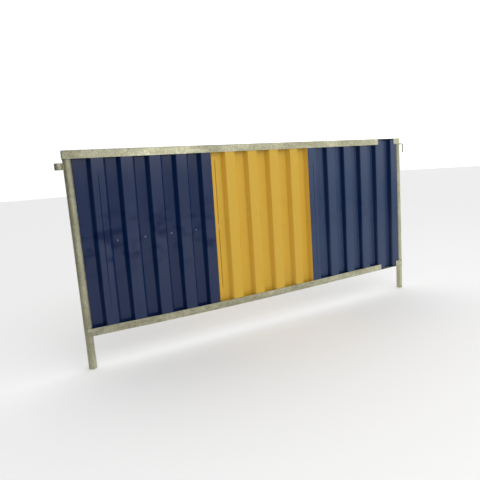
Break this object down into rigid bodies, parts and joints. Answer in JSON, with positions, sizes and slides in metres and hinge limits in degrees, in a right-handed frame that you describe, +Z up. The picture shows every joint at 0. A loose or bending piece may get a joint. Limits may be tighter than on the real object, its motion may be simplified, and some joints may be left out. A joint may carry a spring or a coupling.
{
  "type": "clad construction site barrier panel",
  "caption": "Free-standing site barrier panel: galvanised tube posts and channel rails holding lapped ribbed steel sheets, with a hook and sleeve to join panels.",
  "frame": {"origin": "centre of the left leg's end face", "axes": "+X along the panel from the sleeve end to the hook end, -Y out of the front, +Z up"},
  "size_m": [2.0734, 0.0406, 0.96],
  "materials": {
    "galvanised_tube": "hot-dip galvanised, dull spangle",
    "galvanised_channel": "hot-dip galvanised, dull spangle",
    "blue_coated_sheet": "gloss coil coating",
    "yellow_coated_sheet": "satin coil coating",
    "weld": "galvanised weld bead"
  },
  "bodies": {
    "root": {"left_post": "galvanised_tube", "right_post": "galvanised_tube", "top_rail": "galvanised_channel", "bottom_rail": "galvanised_channel", "mid_rail": "galvanised_channel", "left_sheet": "blue_coated_sheet", "middle_sheet": "yellow_coated_sheet", "right_sheet": "blue_coated_sheet", "hook_sleeve": "galvanised_tube", "hook_rod": "galvanised_tube", "sleeve_weld": "weld", "hook_weld": "weld", "top_left_weld": "weld", "top_right_weld": "weld", "bottom_left_weld": "weld", "bottom_right_weld": "weld"}
  },
  "joints": []
}
